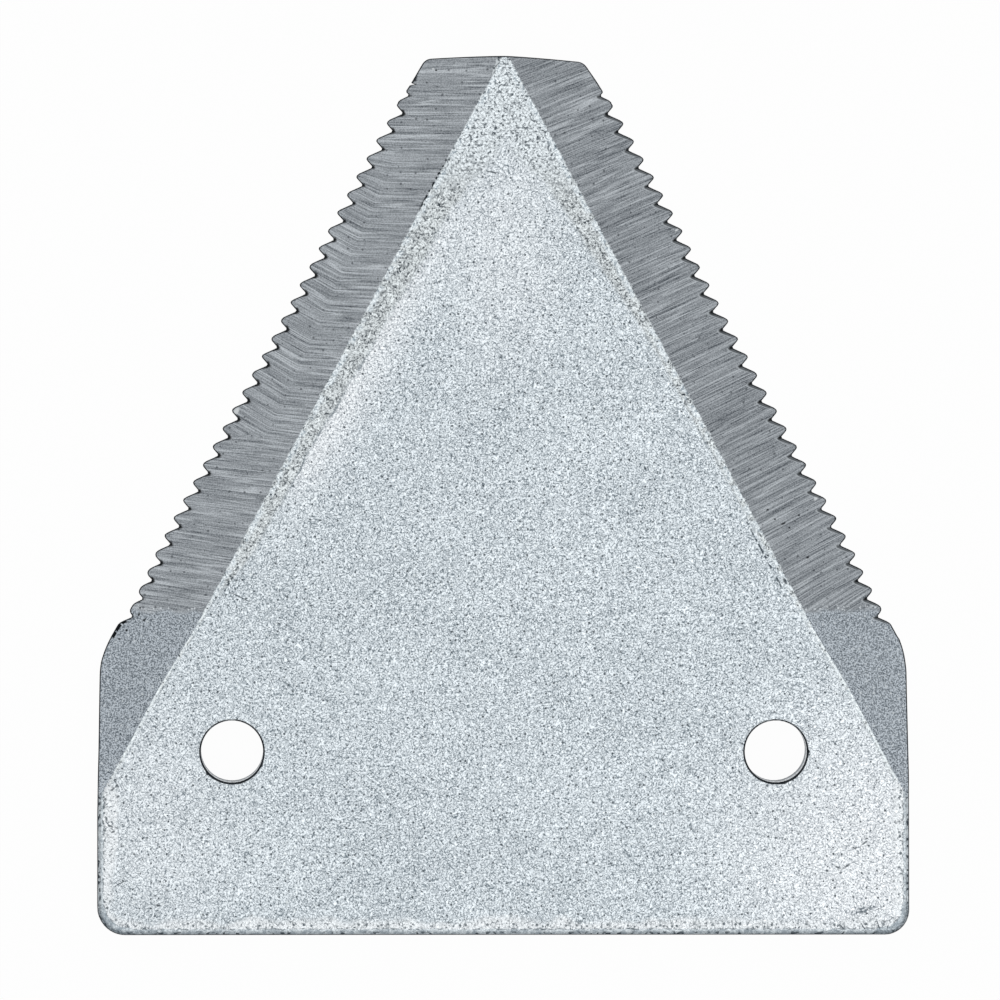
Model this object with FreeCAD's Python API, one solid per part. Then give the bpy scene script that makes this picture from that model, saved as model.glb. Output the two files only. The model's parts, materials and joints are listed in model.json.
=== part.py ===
import FreeCAD, Part
import math
import os

# A sickle section: the riveted knife plate of a mower's cutter bar, pressed from 3 mm spring
# steel. Its top carries two long bevels that meet at the nose, and its underside carries a row
# of V grooves along each cutting edge, which break through the thin of the bevel as teeth.
#
# Lengths are in millimetres and angles in degrees. The underside lies on z = 0 and the bevels
# are on top. The origin is midway between the two rivet holes, +Y runs to the nose and +X
# across the section. Each left-hand feature is the right-hand one mirrored in the plane x = 0.

# Blank: the two lengths run from the line through the rivet holes to the heel and to the nose.
# Each side draws in by the taper from the heel to its shoulder
plate_thickness = 3.0
heel_width = 76.0
side_taper = 0.25
heel_length = 17.2
nose_length = 64.9
heel_corner_radius = 2.5
edge_roll_radius = 0.4

# Rivet holes
hole_spacing = 50.8
hole_diameter = 5.8
hole_roll_radius = 0.12

# Cutting edges: straight lines that lean in from the shoulders towards the nose, each at this
# angle to the section's centre line, and this far apart at the nose
edge_angle = 28.2
nose_width = 15.6
shoulder_radius = 8.0

# Nose: an arched end, with short sides of its own set back behind the cutting edges
nose_arch_radius = 70.0
nose_side_inset = 0.58
nose_corner_radius = 0.8

# Bevels: pressed into the blank down to a blunt edge, then ground deeper from the nose to the
# shoulders, where the wheel lifts off along a short run-out
bevel_angle = 23.4
pressed_edge_land = 0.23
ground_edge_land = 0.08
grind_runout_length = 7.0

# Underside grooves, and the plain lengths left beside them at the nose and at the shoulders
groove_pitch = 1.68
groove_length = 3.0
groove_rise_angle = 11.3
groove_turn_angle = 7.0
groove_included_angle = 100.0
groove_floor_width = 0.14
nose_plain_length = 3.6
shoulder_plain_length = 1.0

# How far each cutting tool reaches past the metal that it removes
overrun = 4.0

# Two points or sizes that differ by less than this count as the same
tolerance = 0.001

Vector = FreeCAD.Vector
UP = Vector(0, 0, 1)
ACROSS = Vector(1, 0, 0)

edge_slope = math.tan(math.radians(edge_angle))
bevel_slope = math.tan(math.radians(bevel_angle))
groove_rise = math.tan(math.radians(groove_rise_angle))
shoulder_width = heel_width - 2 * side_taper
shoulder_y = nose_length - (shoulder_width - nose_width) / 2 / edge_slope
shoulder_reach = shoulder_radius * math.tan(math.radians(edge_angle) / 2)
first_groove_y = nose_length - nose_plain_length

# Along a cutting edge towards the nose, and level with the plate and square to it, inwards
ALONG_EDGE = Vector(-math.sin(math.radians(edge_angle)), math.cos(math.radians(edge_angle)), 0)
INWARD = UP.cross(ALONG_EDGE)


def edge_point(y, inset=0.0):
    """The point at y on the right-hand cutting edge, or on a line set back behind it."""
    x = nose_width / 2 + edge_slope * (nose_length - y)
    return Vector(x - inset / math.cos(math.radians(edge_angle)), y, 0)


def mirrored(shape, side):
    """The shape itself on the right-hand side, and its mirror image on the left."""
    return shape if side > 0 else shape.mirror(Vector(), ACROSS)


def corner_arc(before, corner, after, radius):
    """Start, middle and end of the arc that rounds a corner between two straight lines."""
    to_before = (before - corner).normalize()
    to_after = (after - corner).normalize()
    half_angle = to_before.getAngle(to_after) / 2
    reach = radius / math.tan(half_angle)
    bisector = (to_before + to_after).normalize()
    middle = corner + bisector * (radius / math.sin(half_angle) - radius)
    return [corner + to_before * reach, middle, corner + to_after * reach]


def nose_corner(arch_centre):
    """Where the right-hand side of the nose meets its arched end."""
    base = edge_point(0, nose_side_inset)
    offset = base - arch_centre
    along = offset.dot(ALONG_EDGE)
    travel = math.sqrt(along ** 2 - offset.dot(offset) + nose_arch_radius ** 2) - along
    return base + ALONG_EDGE * travel


def outline():
    """Closed outline of the blank: one half from heel to nose, its mirror image and the arch."""
    heel_middle = Vector(0, -heel_length, 0)
    heel = Vector(heel_width / 2, -heel_length, 0)
    shoulder = Vector(shoulder_width / 2, shoulder_y, 0)
    arch_centre = Vector(0, nose_length - nose_arch_radius, 0)
    nose = nose_corner(arch_centre)
    peak = Vector(0, nose_length, 0)

    # The outline steps in to the nose's side along the first groove, which hides the step
    step_y = first_groove_y - nose_side_inset * math.tan(math.radians(groove_turn_angle))
    step_out = edge_point(step_y)
    step_in = edge_point(step_y, nose_side_inset)

    heel_arc = corner_arc(heel_middle, heel, shoulder, heel_corner_radius)
    shoulder_arc = corner_arc(heel, shoulder, step_out, shoulder_radius)
    arch_tangent = UP.cross(nose - arch_centre)
    nose_arc = corner_arc(step_in, nose, nose + arch_tangent, nose_corner_radius)
    arch_end = nose_arc[2]
    arch = Part.Arc(arch_end, peak, Vector(-arch_end.x, arch_end.y, 0))

    half = [
        Part.LineSegment(heel_middle, heel_arc[0]),
        Part.Arc(*heel_arc),
        Part.LineSegment(heel_arc[2], shoulder_arc[0]),
        Part.Arc(*shoulder_arc),
        Part.LineSegment(shoulder_arc[2], step_out),
        Part.LineSegment(step_out, step_in),
        Part.LineSegment(step_in, nose_arc[0]),
        Part.Arc(*nose_arc),
    ]
    edges = [mirrored(curve.toShape(), side) for side in (1, -1) for curve in half]
    return Part.Wire(Part.sortEdges(edges + [arch.toShape()])[0])


def rivet_hole(side):
    """One straight hole, as the punch that makes it."""
    base = Vector(side * hole_spacing / 2, 0, -overrun)
    return Part.makeCylinder(hole_diameter / 2, plate_thickness + 2 * overrun, base)


def lies_on_top(edge):
    """Whether an edge lies wholly in the plate's top face."""
    return edge.BoundBox.ZMin > plate_thickness - tolerance


def is_hole_rim(edge):
    """Whether an edge is round and as large as a rivet hole."""
    is_round = isinstance(edge.Curve, Part.Circle)
    return is_round and abs(edge.Curve.Radius - hole_diameter / 2) < tolerance


def blank():
    """The flat plate as it leaves the press, whose tool draws its upper edges down a little.

    The heel, its corners and the sides are rounded, and each hole's rim. The cutting edges and
    the nose are left sharp, because the bevels take their upper edges away.
    """
    plate = Part.Face(outline()).extrude(UP * plate_thickness).removeSplitter()
    heel_edges = [e for e in plate.Edges if lies_on_top(e) and e.BoundBox.YMax < shoulder_y]
    plate = plate.makeFillet(edge_roll_radius, heel_edges)
    plate = plate.cut([rivet_hole(side) for side in (-1, 1)])
    rims = [e for e in plate.Edges if lies_on_top(e) and is_hole_rim(e)]
    return plate.makeFillet(hole_roll_radius, rims)


def bevel_cutter(side, land, lower_end, lift_off):
    """Everything above one bevel, from lower_end to beyond the nose.

    The bevel rises inwards from the land that it leaves at the cutting edge. The cutter is a
    profile along the edge, carried inwards up the bevel's slope. Where a lift-off is given,
    the profile's lower end ramps up over that length, to the height of the pressed bevel.
    """
    up_bevel = INWARD + UP * bevel_slope
    square_to_bevel = (UP - INWARD * bevel_slope).normalize()
    lift = (pressed_edge_land - land) * math.cos(math.radians(bevel_angle))
    height = 2 * plate_thickness
    reach = (plate_thickness - land) / bevel_slope + overrun
    length = 2 * (nose_length + heel_length)

    start = edge_point(lower_end) + UP * land - up_bevel * overrun
    profile = [(0, lift), (lift_off, 0), (length, 0), (length, height), (0, height)]
    points = []
    for along, above in profile:
        points.append(start + ALONG_EDGE * along + square_to_bevel * above)
    if points[0].distanceToPoint(points[1]) < tolerance:
        points.pop(0)
    cutter = Part.Face(Part.makePolygon(points + points[:1])).extrude(up_bevel * (reach + overrun))
    return mirrored(cutter, side)


def groove_cutter(side, y, length):
    """One V groove of the underside, as the solid that a slanting cutter sweeps.

    It meets the cutting edge at y. Its floor starts on the underside, length behind the edge,
    and rises towards it. Seen from above it is turned a little from the heel's line towards
    the nose.
    """
    turn = math.radians(groove_turn_angle)
    outward = Vector(math.cos(turn), math.sin(turn), 0)
    sideways = UP.cross(outward)
    sweep = outward + UP * groove_rise
    floor = groove_floor_width / 2
    depth = groove_rise * (length + 2 * overrun)
    reach = floor + depth * math.tan(math.radians(groove_included_angle / 2))

    start = edge_point(y) - outward * length - sweep * overrun
    profile = [(-floor, 0), (floor, 0), (reach, -depth), (-reach, -depth)]
    points = [start + sideways * across + UP * above for across, above in profile]
    cutter = Part.Face(Part.makePolygon(points + points[:1])).extrude(sweep * (length + 2 * overrun))
    return mirrored(cutter, side)


def grooves(side):
    """The row of grooves along one cutting edge, as many as its length holds.

    The first groove is shorter than the rest: its tip just reaches the nose's set-back side.
    """
    last_y = shoulder_y + shoulder_reach * math.cos(math.radians(edge_angle)) + shoulder_plain_length
    count = int((first_groove_y - last_y) / groove_pitch) + 1

    skew = math.cos(math.radians(edge_angle - groove_turn_angle))
    tip = nose_side_inset / skew
    bevel_height = ground_edge_land + bevel_slope * nose_side_inset
    first_length = tip + bevel_height / groove_rise

    cutters = [groove_cutter(side, first_groove_y, first_length)]
    for index in range(1, count):
        cutters.append(groove_cutter(side, first_groove_y - index * groove_pitch, groove_length))
    return cutters


def sickle_section():
    """The finished section, one solid."""
    plate = blank()
    for side in (-1, 1):
        plate = plate.cut(bevel_cutter(side, pressed_edge_land, -2 * heel_length, 0))
        plate = plate.cut(bevel_cutter(side, ground_edge_land, shoulder_y, grind_runout_length))
        for cutter in grooves(side):
            plate = plate.cut(cutter)
    return plate.removeSplitter().Solids[0]


os.makedirs("parts", exist_ok=True)
section = sickle_section()
section.exportStep("parts/sickle_section.step")
print("valid", section.isValid(), "volume", round(section.Volume, 1), "faces", len(section.Faces))
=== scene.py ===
import json
import math

import bpy
import mathutils
import numpy as np
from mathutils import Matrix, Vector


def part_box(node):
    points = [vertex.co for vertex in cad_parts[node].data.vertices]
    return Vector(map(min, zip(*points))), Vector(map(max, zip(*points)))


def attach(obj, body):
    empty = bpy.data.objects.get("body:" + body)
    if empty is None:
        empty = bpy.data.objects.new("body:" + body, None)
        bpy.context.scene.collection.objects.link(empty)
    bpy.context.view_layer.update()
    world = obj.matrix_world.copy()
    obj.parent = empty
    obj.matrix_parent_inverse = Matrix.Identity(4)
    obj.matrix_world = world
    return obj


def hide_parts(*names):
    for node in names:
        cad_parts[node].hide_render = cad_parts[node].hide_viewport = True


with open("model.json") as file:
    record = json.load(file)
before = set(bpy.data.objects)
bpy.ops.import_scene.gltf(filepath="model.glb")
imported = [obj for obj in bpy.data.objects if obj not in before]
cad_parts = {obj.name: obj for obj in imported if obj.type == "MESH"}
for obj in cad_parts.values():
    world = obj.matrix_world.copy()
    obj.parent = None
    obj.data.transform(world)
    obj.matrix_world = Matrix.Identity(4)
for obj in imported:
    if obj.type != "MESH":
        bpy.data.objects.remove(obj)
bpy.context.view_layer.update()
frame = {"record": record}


# The outline of the sickle section
# One plate of spring steel, 3 mm thick, cut out by a press. Its straight sides turn in at the
# shoulders to the two cutting edges, which run to a short nose with an edge and corners of its own.

MM = 0.001
low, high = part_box("sickle_section")
plate_top = high.z
heel_y = low.y
nose_y = high.y
side_half = high.x
heel_corner = {-1: 2.62 * MM, 1: 2.3 * MM}
shoulder_blend = 1.0 * MM
edge_angle = math.radians(28.2)
edge_slope = math.tan(edge_angle)
edge_cos = math.cos(edge_angle)
nose_half = 7.8 * MM
nose_inset = 0.58 * MM
nose_lean = math.radians(32)
nose_corner = 1.1 * MM
nose_arch = 58 * MM
nose_tilt = 0.019
nick_y = 62.25 * MM
nick_depth = 0.42 * MM
nick_half = 0.06 * MM

# How far each toothed edge is worn in, or stands out, from its straight line at places along it
wander_places = np.array([8.3, 10.5, 12, 13.5, 15.5, 18, 22, 25, 29,
                          33, 37, 41, 45, 49, 54, 57, 60.5, 61.5]) * MM
wander = {-1: np.array([0, -0.18, -0.24, -0.3, -0.19, -0.08, -0.01, -0.04, -0.1,
                        -0.11, -0.16, -0.14, -0.1, -0.02, 0.01, -0.05, -0.16, 0]) * MM,
          1: np.array([0, 0.14, 0.12, 0.0, 0.1, 0.27, 0.3, 0.2, 0.12,
                       0.03, 0.02, -0.04, 0.02, 0.17, 0.17, 0.08, -0.08, 0]) * MM}

# How far each straight side has drawn in at places from the heel's corner to the shoulder
side_places = np.array([-14.7, -6, -2, 0, 5.2, 7.1, 9, 20]) * MM
side_draw = {-1: np.array([0, 0, 0.065, 0.11, 0.17, 0.2, 0.285, 0.5]) * MM,
             1: np.array([0, 0.048, 0.07, 0.098, 0.165, 0.18, 0.18, 0.4]) * MM}


def smooth_step(value, start, end):
    """Rises from 0 at start to 1 at end, as three times the square less twice the cube."""
    t = np.clip((value - start) / (end - start), 0, 1)
    return t * t * (3 - 2 * t)


def soft_least(a, b, reach):
    """The lesser of two values, rounded off by a parabola where they differ by less than the reach."""
    near = np.clip(reach - abs(a - b), 0, None)
    return np.minimum(a, b) - near ** 2 / (4 * reach)


def edge_line(y):
    """Distance of a cutting edge's line from the middle: it grows evenly from the nose to the heel."""
    return nose_half + edge_slope * (nose_y - y)


def nose_side(y):
    """Distance of the nose's short side from the middle: it stands back from the edge's line, and
    leans more, so that it comes nearly up to that line at the first tooth."""
    return nose_half - nose_inset / edge_cos + math.tan(nose_lean) * (nose_y - y)


def side_line(y, side):
    """Distance of a straight side from the middle: the widest there is, less what it has drawn in."""
    return side_half - np.interp(y, side_places, side_draw[side])


# The bevels and the grooves
# Two bevels are pressed down to a blunt edge and then ground, and the wheel lifts off just above
# the shoulders. Underneath, V grooves rise to the edge and break through it as the teeth.

bevel_angle = math.radians(23.4)
bevel_fall = math.tan(bevel_angle) * edge_cos
pressed_land = 0.23 * MM
ground_land = 0.08 * MM
runout = 7.0 * MM
pitch = 1.68 * MM
first_groove_y = nose_y - 3.6 * MM
groove_count = 30
groove_length = 3.0 * MM
first_length = 2.278 * MM
groove_rise = math.tan(math.radians(11.3))
groove_turn = math.radians(7.0)
groove_flank = 1 / math.tan(math.radians(50))
groove_floor = 0.07 * MM
least_metal = 0.03 * MM
edge_metal = 0.06 * MM
tip_rounding = np.interp(np.arange(groove_count + 1), [0, 16, 25, 30], [0.14, 0.2, 0.34, 0.4]) * MM
valley_rounding = 0.05 * MM
notch_deepening = 0.09 * MM
near_shoulder = 9 * MM
edge_foot_y = nose_y - (side_line(near_shoulder, 1) - nose_half) / edge_slope
toothed_from = edge_foot_y + 1.5 * MM

# The teeth are worn by chance, and those nearest the left shoulder most
tooth_chance = np.random.default_rng(4)
tooth_wear = {-1: tooth_chance.uniform(0, 0.07, groove_count + 1) * MM,
              1: tooth_chance.uniform(0, 0.07, groove_count + 1) * MM}
tooth_wear[-1][-5:] += np.array([0.06, 0.14, 0.24, 0.3, -0.03]) * MM
groove_shift = {-1: tooth_chance.normal(0, 0.018, groove_count) * MM,
                1: tooth_chance.normal(0, 0.018, groove_count) * MM}


def groove_planes(x, y, side):
    """Heights of each groove's floor and two flanks over the points: the floor climbs outwards at
    its own slope, and each flank falls away from it to one side. The grooves are the last axis."""
    number = np.arange(groove_count)
    at_y = first_groove_y - number * pitch + groove_shift[side]
    length = np.where(number == 0, first_length, groove_length)
    start_x = edge_line(at_y) - length * math.cos(groove_turn)
    start_y = at_y - length * math.sin(groove_turn)
    dx = x[..., None] - start_x
    dy = y[..., None] - start_y
    along = dx * math.cos(groove_turn) + dy * math.sin(groove_turn)
    across = dy * math.cos(groove_turn) - dx * math.sin(groove_turn)
    floor = groove_rise * along
    upper_flank = floor - groove_flank * (across - groove_floor)
    lower_flank = floor + groove_flank * (across + groove_floor)
    return floor, upper_flank, lower_flank


def bevel_height(x, y):
    """Height of the bevels: the lower of the pressed plane and the ground one. Both climb inwards
    from the land they leave at the edge, and the ground one climbs away where the wheel lifts off."""
    inwards = (edge_line(y) - x) * bevel_fall
    along = (y - edge_foot_y) * edge_cos - (x - edge_line(edge_foot_y)) * math.sin(edge_angle)
    lift = (pressed_land - ground_land) * np.clip(1 - along / runout, 0, 1)
    return np.minimum(pressed_land + inwards, ground_land + inwards + lift)


def toothed_edge(y, side):
    """Distance of the toothed edge from the middle at each y. A groove's notch ends where its
    floor or a flank comes up to the bevel, and between two notches the tip stops at the edge line."""
    at_edge = edge_line(y)
    metal_at_edge = bevel_height(at_edge, y)[:, None]
    notch = None
    for plane_edge, plane_in in zip(groove_planes(at_edge, y, side), groove_planes(at_edge - MM, y, side)):
        gain = (plane_edge - plane_in) / MM + bevel_fall
        reached = at_edge[:, None] - (plane_edge - metal_at_edge) / gain
        notch = reached if notch is None else -soft_least(-notch, -reached, valley_rounding)
    tooth = np.clip(np.rint((first_groove_y + pitch / 2 - y) / pitch), 0, groove_count).astype(int)
    above_teeth = smooth_step(y, first_groove_y - 0.15 * MM, first_groove_y + 0.05 * MM)
    worn = at_edge - tooth_wear[side][tooth]
    tip = worn + (nose_side(y) - worn) * above_teeth
    return soft_least(tip, notch.min(axis=1) - notch_deepening, tip_rounding[tooth])


def outline_half(y, side):
    """Distance of the whole outline from the middle: the heel's corner is an arc, and above it the
    lesser of the straight side and the toothed edge, with a rounded shoulder between them. The
    edge's wander is added, and on the left a nick is taken away, which is a narrow bell curve."""
    corner = heel_corner[side]
    up = np.clip(y - heel_y, 0, corner)
    corner_cut = corner - np.sqrt(corner ** 2 - (corner - up) ** 2)
    half = soft_least(side_line(y, side), edge_line(y), shoulder_blend) - corner_cut
    teeth = toothed_edge(y, side)
    half = np.where(y > toothed_from, np.minimum(half, teeth), half)
    nick = nick_depth * np.exp(-((y - nick_y) / nick_half) ** 2) * (side < 0)
    return half + np.interp(y, wander_places, wander[side]) - nick


# The surface of the plate
# The press leaves a rolled upper edge at the heel and the sides, and the tool that holds the
# plate down for bevelling leaves a crushed, lumpy band beside each bevel.

edge_roll = 0.4 * MM
edge_break = 0.05 * MM
band_reach = 2.5 * MM
crush_depth = 0.05 * MM
droop_depth = 0.03 * MM
droop_reach = 0.7 * MM
plate_play = 0.006 * MM
lattice_size = 512
lattice_start = 200

# Width of the crushed band at places along each bevel's border
band_places = {-1: np.array([14, 18, 28, 40, 51, 56]) * MM, 1: np.array([12, 39, 44, 52, 56]) * MM}
band_widths = {-1: np.array([0.2, 1.5, 1.7, 2.3, 2.9, 4.0]) * MM,
               1: np.array([0.3, 0.9, 1.6, 2.6, 4.0]) * MM}


def between(start, end, share):
    """The value that lies a share of the way from one to another."""
    return start * (1 - share) + end * share


def lumps(x, y, size, seed):
    """Smooth random heights from 0 to 1: seeded values on a square lattice of the given size,
    joined by the smooth step in both directions."""
    lattice = np.random.default_rng(seed).random((lattice_size, lattice_size))
    u = x / size + lattice_start
    v = y / size + lattice_start
    i = np.floor(u).astype(int)
    j = np.floor(v).astype(int)
    fu = smooth_step(u - i, 0, 1)
    fv = smooth_step(v - j, 0, 1)
    i, j, i1, j1 = (number % lattice_size for number in (i, j, i + 1, j + 1))
    near = between(lattice[i, j], lattice[i1, j], fu)
    far = between(lattice[i, j1], lattice[i1, j1], fu)
    return between(near, far, fv)


def border_half(y):
    """Distance from the middle of the line where the bevel meets the flat top, found by stepping
    out from the pressed bevel's border by what is left to climb."""
    x = edge_line(y) - (plate_top - pressed_land) / bevel_fall
    for _ in range(3):
        x = x - (plate_top - bevel_height(x, y)) / bevel_fall
    return x


def band_strength(x, y, side):
    """How strongly the plate is crushed at a point, from 0 to 1: full at the bevel's border and
    fading inwards over a width that changes along the border and wanders a little."""
    width = np.interp(y, band_places[side], band_widths[side])
    width = width * (0.92 + 0.16 * lumps(x, y, 1.1 * MM, 11))
    inside = border_half(y) - x
    return 1 - smooth_step(inside, width * 0.86, width * 1.14)


def edge_distance(x, y, side):
    """Distance inwards from the heel, its corners and the sides, as for a rectangle with two
    rounded corners."""
    corner = heel_corner[side]
    over_x = x - (side_line(y, side) - corner)
    over_y = heel_y + corner - y
    beyond = np.hypot(np.clip(over_x, 0, None), np.clip(over_y, 0, None))
    return corner - beyond - np.minimum(np.maximum(over_x, over_y), 0)


def flat_height(x, y, side):
    """Height of the plate's top without its bevels: flat, with the rolled edge as a quarter of a
    circle, a slight droop behind it, and the crushed band's lumps."""
    away = edge_distance(x, y, side)
    into_roll = np.clip(edge_roll - away, 0, edge_roll)
    roll = edge_roll - np.sqrt(edge_roll ** 2 - into_roll ** 2)
    droop = droop_depth * np.exp(-np.clip(away, 0, None) / droop_reach)
    crushed = band_strength(x, y, side)
    relief = 0.6 * lumps(x, y, 0.75 * MM, 21) + 0.4 * lumps(x, y, 0.4 * MM, 22)
    play = plate_play * lumps(x, y, 9 * MM, 23)
    return plate_top - roll - droop - crushed * crush_depth * relief - play


def under_height(x, y, side):
    """Height of the underside: level, and inside a groove the lowest of its floor and flanks."""
    floor, upper, lower = groove_planes(x, y, side)
    return np.clip(np.minimum(floor, np.minimum(upper, lower)).max(axis=-1), 0, None)


# The mesh of the plate
# Rows run across the section from the heel to the nose, and columns follow the edge, the bevel's
# border and the band, so the steel's real creases are lines of the mesh.

rivet_holes = next(m for m in frame["record"]["mounts"] if m["name"] == "rivet_holes")
hole_x = rivet_holes["dims"]["spacing_x_mm"] / 2 * MM
hole_radius = rivet_holes["dims"]["hole_r_mm"] * MM
hole_rim = 0.12 * MM
window_half = 4.6 * MM
inner_half = 30.0 * MM
inner_columns = 36
window_columns = (26, 36)
corner_rows = 7
tooth_rows = 10

corner_turn = math.pi / 2 - nose_lean - math.asin(nose_half / nose_arch)
corner_angles = nose_lean + corner_turn * np.linspace(0, 1, corner_rows)
arch_drop = nose_side(nose_y) ** 2 / (2 * nose_arch)
corner_tip = np.array([nose_side(nose_y - arch_drop), nose_y - arch_drop])
corner_reach = nose_corner * math.tan(corner_turn / 2)
corner_start = corner_tip - corner_reach * np.array([-math.sin(nose_lean), math.cos(nose_lean)])
corner_centre = corner_start - nose_corner * np.array([math.cos(nose_lean), math.sin(nose_lean)])

teeth_top = first_groove_y + 0.6 * pitch
teeth_foot = first_groove_y - (groove_count - 0.4) * pitch
teeth_row_count = int(round((teeth_top - teeth_foot) / pitch * tooth_rows)) + 1
row_y = np.concatenate([
    heel_y + np.array([0, 0.03, 0.08, 0.15, 0.25, 0.4, 0.6, 0.9, 1.3, 1.75, 2.2, 2.8]) * MM,
    np.linspace(heel_y + 2.8 * MM, -window_half, 19)[1:],
    np.linspace(-window_half, window_half, 23)[1:],
    np.linspace(window_half, teeth_foot, 24)[1:],
    np.linspace(teeth_foot, teeth_top, teeth_row_count)[1:],
    np.linspace(teeth_top, corner_start[1], 10)[1:-1],
    corner_centre[1] + nose_corner * np.sin(corner_angles),
])
row_y = np.unique(np.append(row_y, nick_y + np.array([-0.12, -0.06, -0.03, 0, 0.03, 0.06, 0.12]) * MM))
row_count = len(row_y)


def row_half(side):
    """Half-width of every row: the outline, and at the nose's corner an arc."""
    half = outline_half(row_y, side)
    half[-corner_rows:] = corner_centre[0] + nose_corner * np.cos(corner_angles)
    return half


def edge_stretch(half):
    """How much longer a level line's way to the outline is than the square way, row by row: the
    root of one plus the outline's lean squared."""
    lean = np.clip(abs(np.gradient(half, row_y)), 0, 2.2)
    return np.sqrt(1 + lean ** 2)[:, None]


def column_places(side):
    """Distances of one side's columns from the middle, row by row, from the outline inwards.

    The outermost keep a fixed distance square to the outline, the next are spread evenly over
    the bevel, some stand close to its border and in the band, and the rest run to the middle."""
    half = row_half(side)
    stretch = edge_stretch(half)
    border = np.clip(np.minimum(border_half(row_y), half - 1.2 * MM), 0.1 * MM, None)[:, None]
    half = half[:, None]
    at_edge = half - np.array([0, 0.05, 0.11, 0.19, 0.3]) * MM * stretch
    at_border = border + np.array([0.3, 0.15, 0.06, 0]) * MM
    over_bevel = between(at_edge[:, -1:], at_border[:, :1], np.linspace(0, 1, 20)[1:-1])
    inner = np.minimum(np.maximum(border - band_reach, border * 0.5), inner_half)
    close = np.array([0.06, 0.15, 0.28, 0.45, 0.66, 0.9])
    in_band = border - np.minimum(close * MM, close / 1.9 * (border - inner))
    past_band = between(in_band[:, -1:], inner, np.linspace(0, 1, 6)[1:-1])
    to_middle = inner * np.linspace(1, 0, inner_columns + 1)
    return np.hstack([at_edge, over_bevel, at_border, in_band, past_band, to_middle])


def nose_row(x, half):
    """The y of each point: level rows, which near the nose take on its arched and tilted end."""
    rise = smooth_step(row_y, teeth_top, row_y[-1])[:, None]
    bulge = (nose_y - row_y[-1]) * (1 - abs(x / half) ** 1.4)
    return row_y[:, None] + rise * (bulge - nose_tilt * (x + half * 0.2))


left = column_places(-1)
right = column_places(1)
grid_x = np.hstack([-left, right[:, -2::-1]])
side_count = left.shape[1]
column_count = grid_x.shape[1]
side_of = np.where(np.arange(column_count) < side_count, -1, 1)
grid_half = np.where(side_of < 0, left[:, :1], right[:, :1])
grid_y = nose_row(grid_x, grid_half)


def by_side(function, x, y):
    """A function of one side's points, worked out for both halves of a grid of points."""
    return np.where(x < 0, function(abs(x), y, -1), function(abs(x), y, 1))


def top_height(x, y):
    """The lower of the flat top and the bevels, which never run out to nothing."""
    return np.minimum(by_side(flat_height, x, y), np.maximum(bevel_height(abs(x), y), edge_metal))


outer_gap = grid_half - abs(grid_x)
grid_under = by_side(under_height, grid_x, grid_y)
grid_top = top_height(grid_x, grid_y)
grid_under = np.minimum(grid_under, grid_top - least_metal)
thin = (grid_top - grid_under) * 0.5
broken_edge = np.exp(-(outer_gap / edge_break) ** 2) * np.minimum(thin, edge_break)
grid_top = grid_top - np.where(grid_y > edge_foot_y, broken_edge, 0)

# The underside keeps the outer columns, the windows round the holes and every fourth one between
outer_kept = 16
kept_every = 4
side_columns = np.arange(side_count)
kept = (side_columns < outer_kept) | (side_columns % kept_every == 0)
window_from = side_count - 1 - window_columns[1]
window_to = side_count - 1 - window_columns[0]
kept |= (side_columns >= window_from) & (side_columns <= window_to)
kept[-1] = True
under_columns = np.flatnonzero(np.concatenate([kept, kept[-2::-1]]))
rows_in_window = np.flatnonzero(abs(row_y) < window_half * 1.0001)
window_rows = (rows_in_window[0], rows_in_window[-1])


def cells(index):
    """The four corners of every cell of a grid, one row for each."""
    return np.stack([index[:-1, :-1], index[:-1, 1:], index[1:, 1:], index[1:, :-1]], -1)


def around(index, first_row, last_row, first_column, last_column):
    """The numbers of a grid once round a rectangle of it."""
    return np.concatenate([
        index[first_row, first_column:last_column], index[first_row:last_row, last_column],
        index[last_row, last_column:first_column:-1], index[last_row:first_row:-1, first_column]])


FLAT, BEVEL, SHEARED, UNDERSIDE = range(4)
vertices = []
faces = []
face_finish = []


def add_vertices(x, y, z):
    """Adds points to the mesh and gives back their numbers, in the shape of the arrays."""
    x, y, z = np.broadcast_arrays(x, y, z)
    first = sum(len(part) for part in vertices)
    vertices.append(np.stack([x.ravel(), y.ravel(), z.ravel()], -1))
    return np.arange(first, first + x.size).reshape(x.shape)


top = add_vertices(grid_x, grid_y, grid_top)
under = add_vertices(grid_x[:, under_columns], grid_y[:, under_columns], grid_under[:, under_columns])

under_from = np.searchsorted(under_columns, window_from)
under_to = np.searchsorted(under_columns, window_to)
last_top = column_count - 1
last_under = len(under_columns) - 1
top_windows = {-1: (window_from, window_to), 1: (last_top - window_to, last_top - window_from)}
under_windows = {-1: (under_from, under_to), 1: (last_under - under_to, last_under - under_from)}

middle_x, middle_y = (cells(grid).mean(axis=-1) for grid in (abs(grid_x), grid_y))
bevelled = bevel_height(middle_x, middle_y) < by_side(flat_height, middle_x, middle_y)
top_finish = np.where(bevelled, BEVEL, FLAT)
under_finish = np.full((row_count - 1, last_under), UNDERSIDE)

for index, windows, finish, turned in ((top, top_windows, top_finish, False),
                                       (under, under_windows, under_finish, True)):
    quads = cells(index)
    solid = np.ones(quads.shape[:2], bool)
    for first, last in windows.values():
        solid[window_rows[0]:window_rows[1], first:last] = False
    quads = quads[solid]
    faces.append(quads[:, ::-1] if turned else quads)
    face_finish.append(finish[solid])


# The rivet holes
# Each is punched: a slightly rounded rim with a few nicks, a straight bright wall, and a sharp
# lower edge. Angles run anticlockwise from +X, seen from above.

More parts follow.
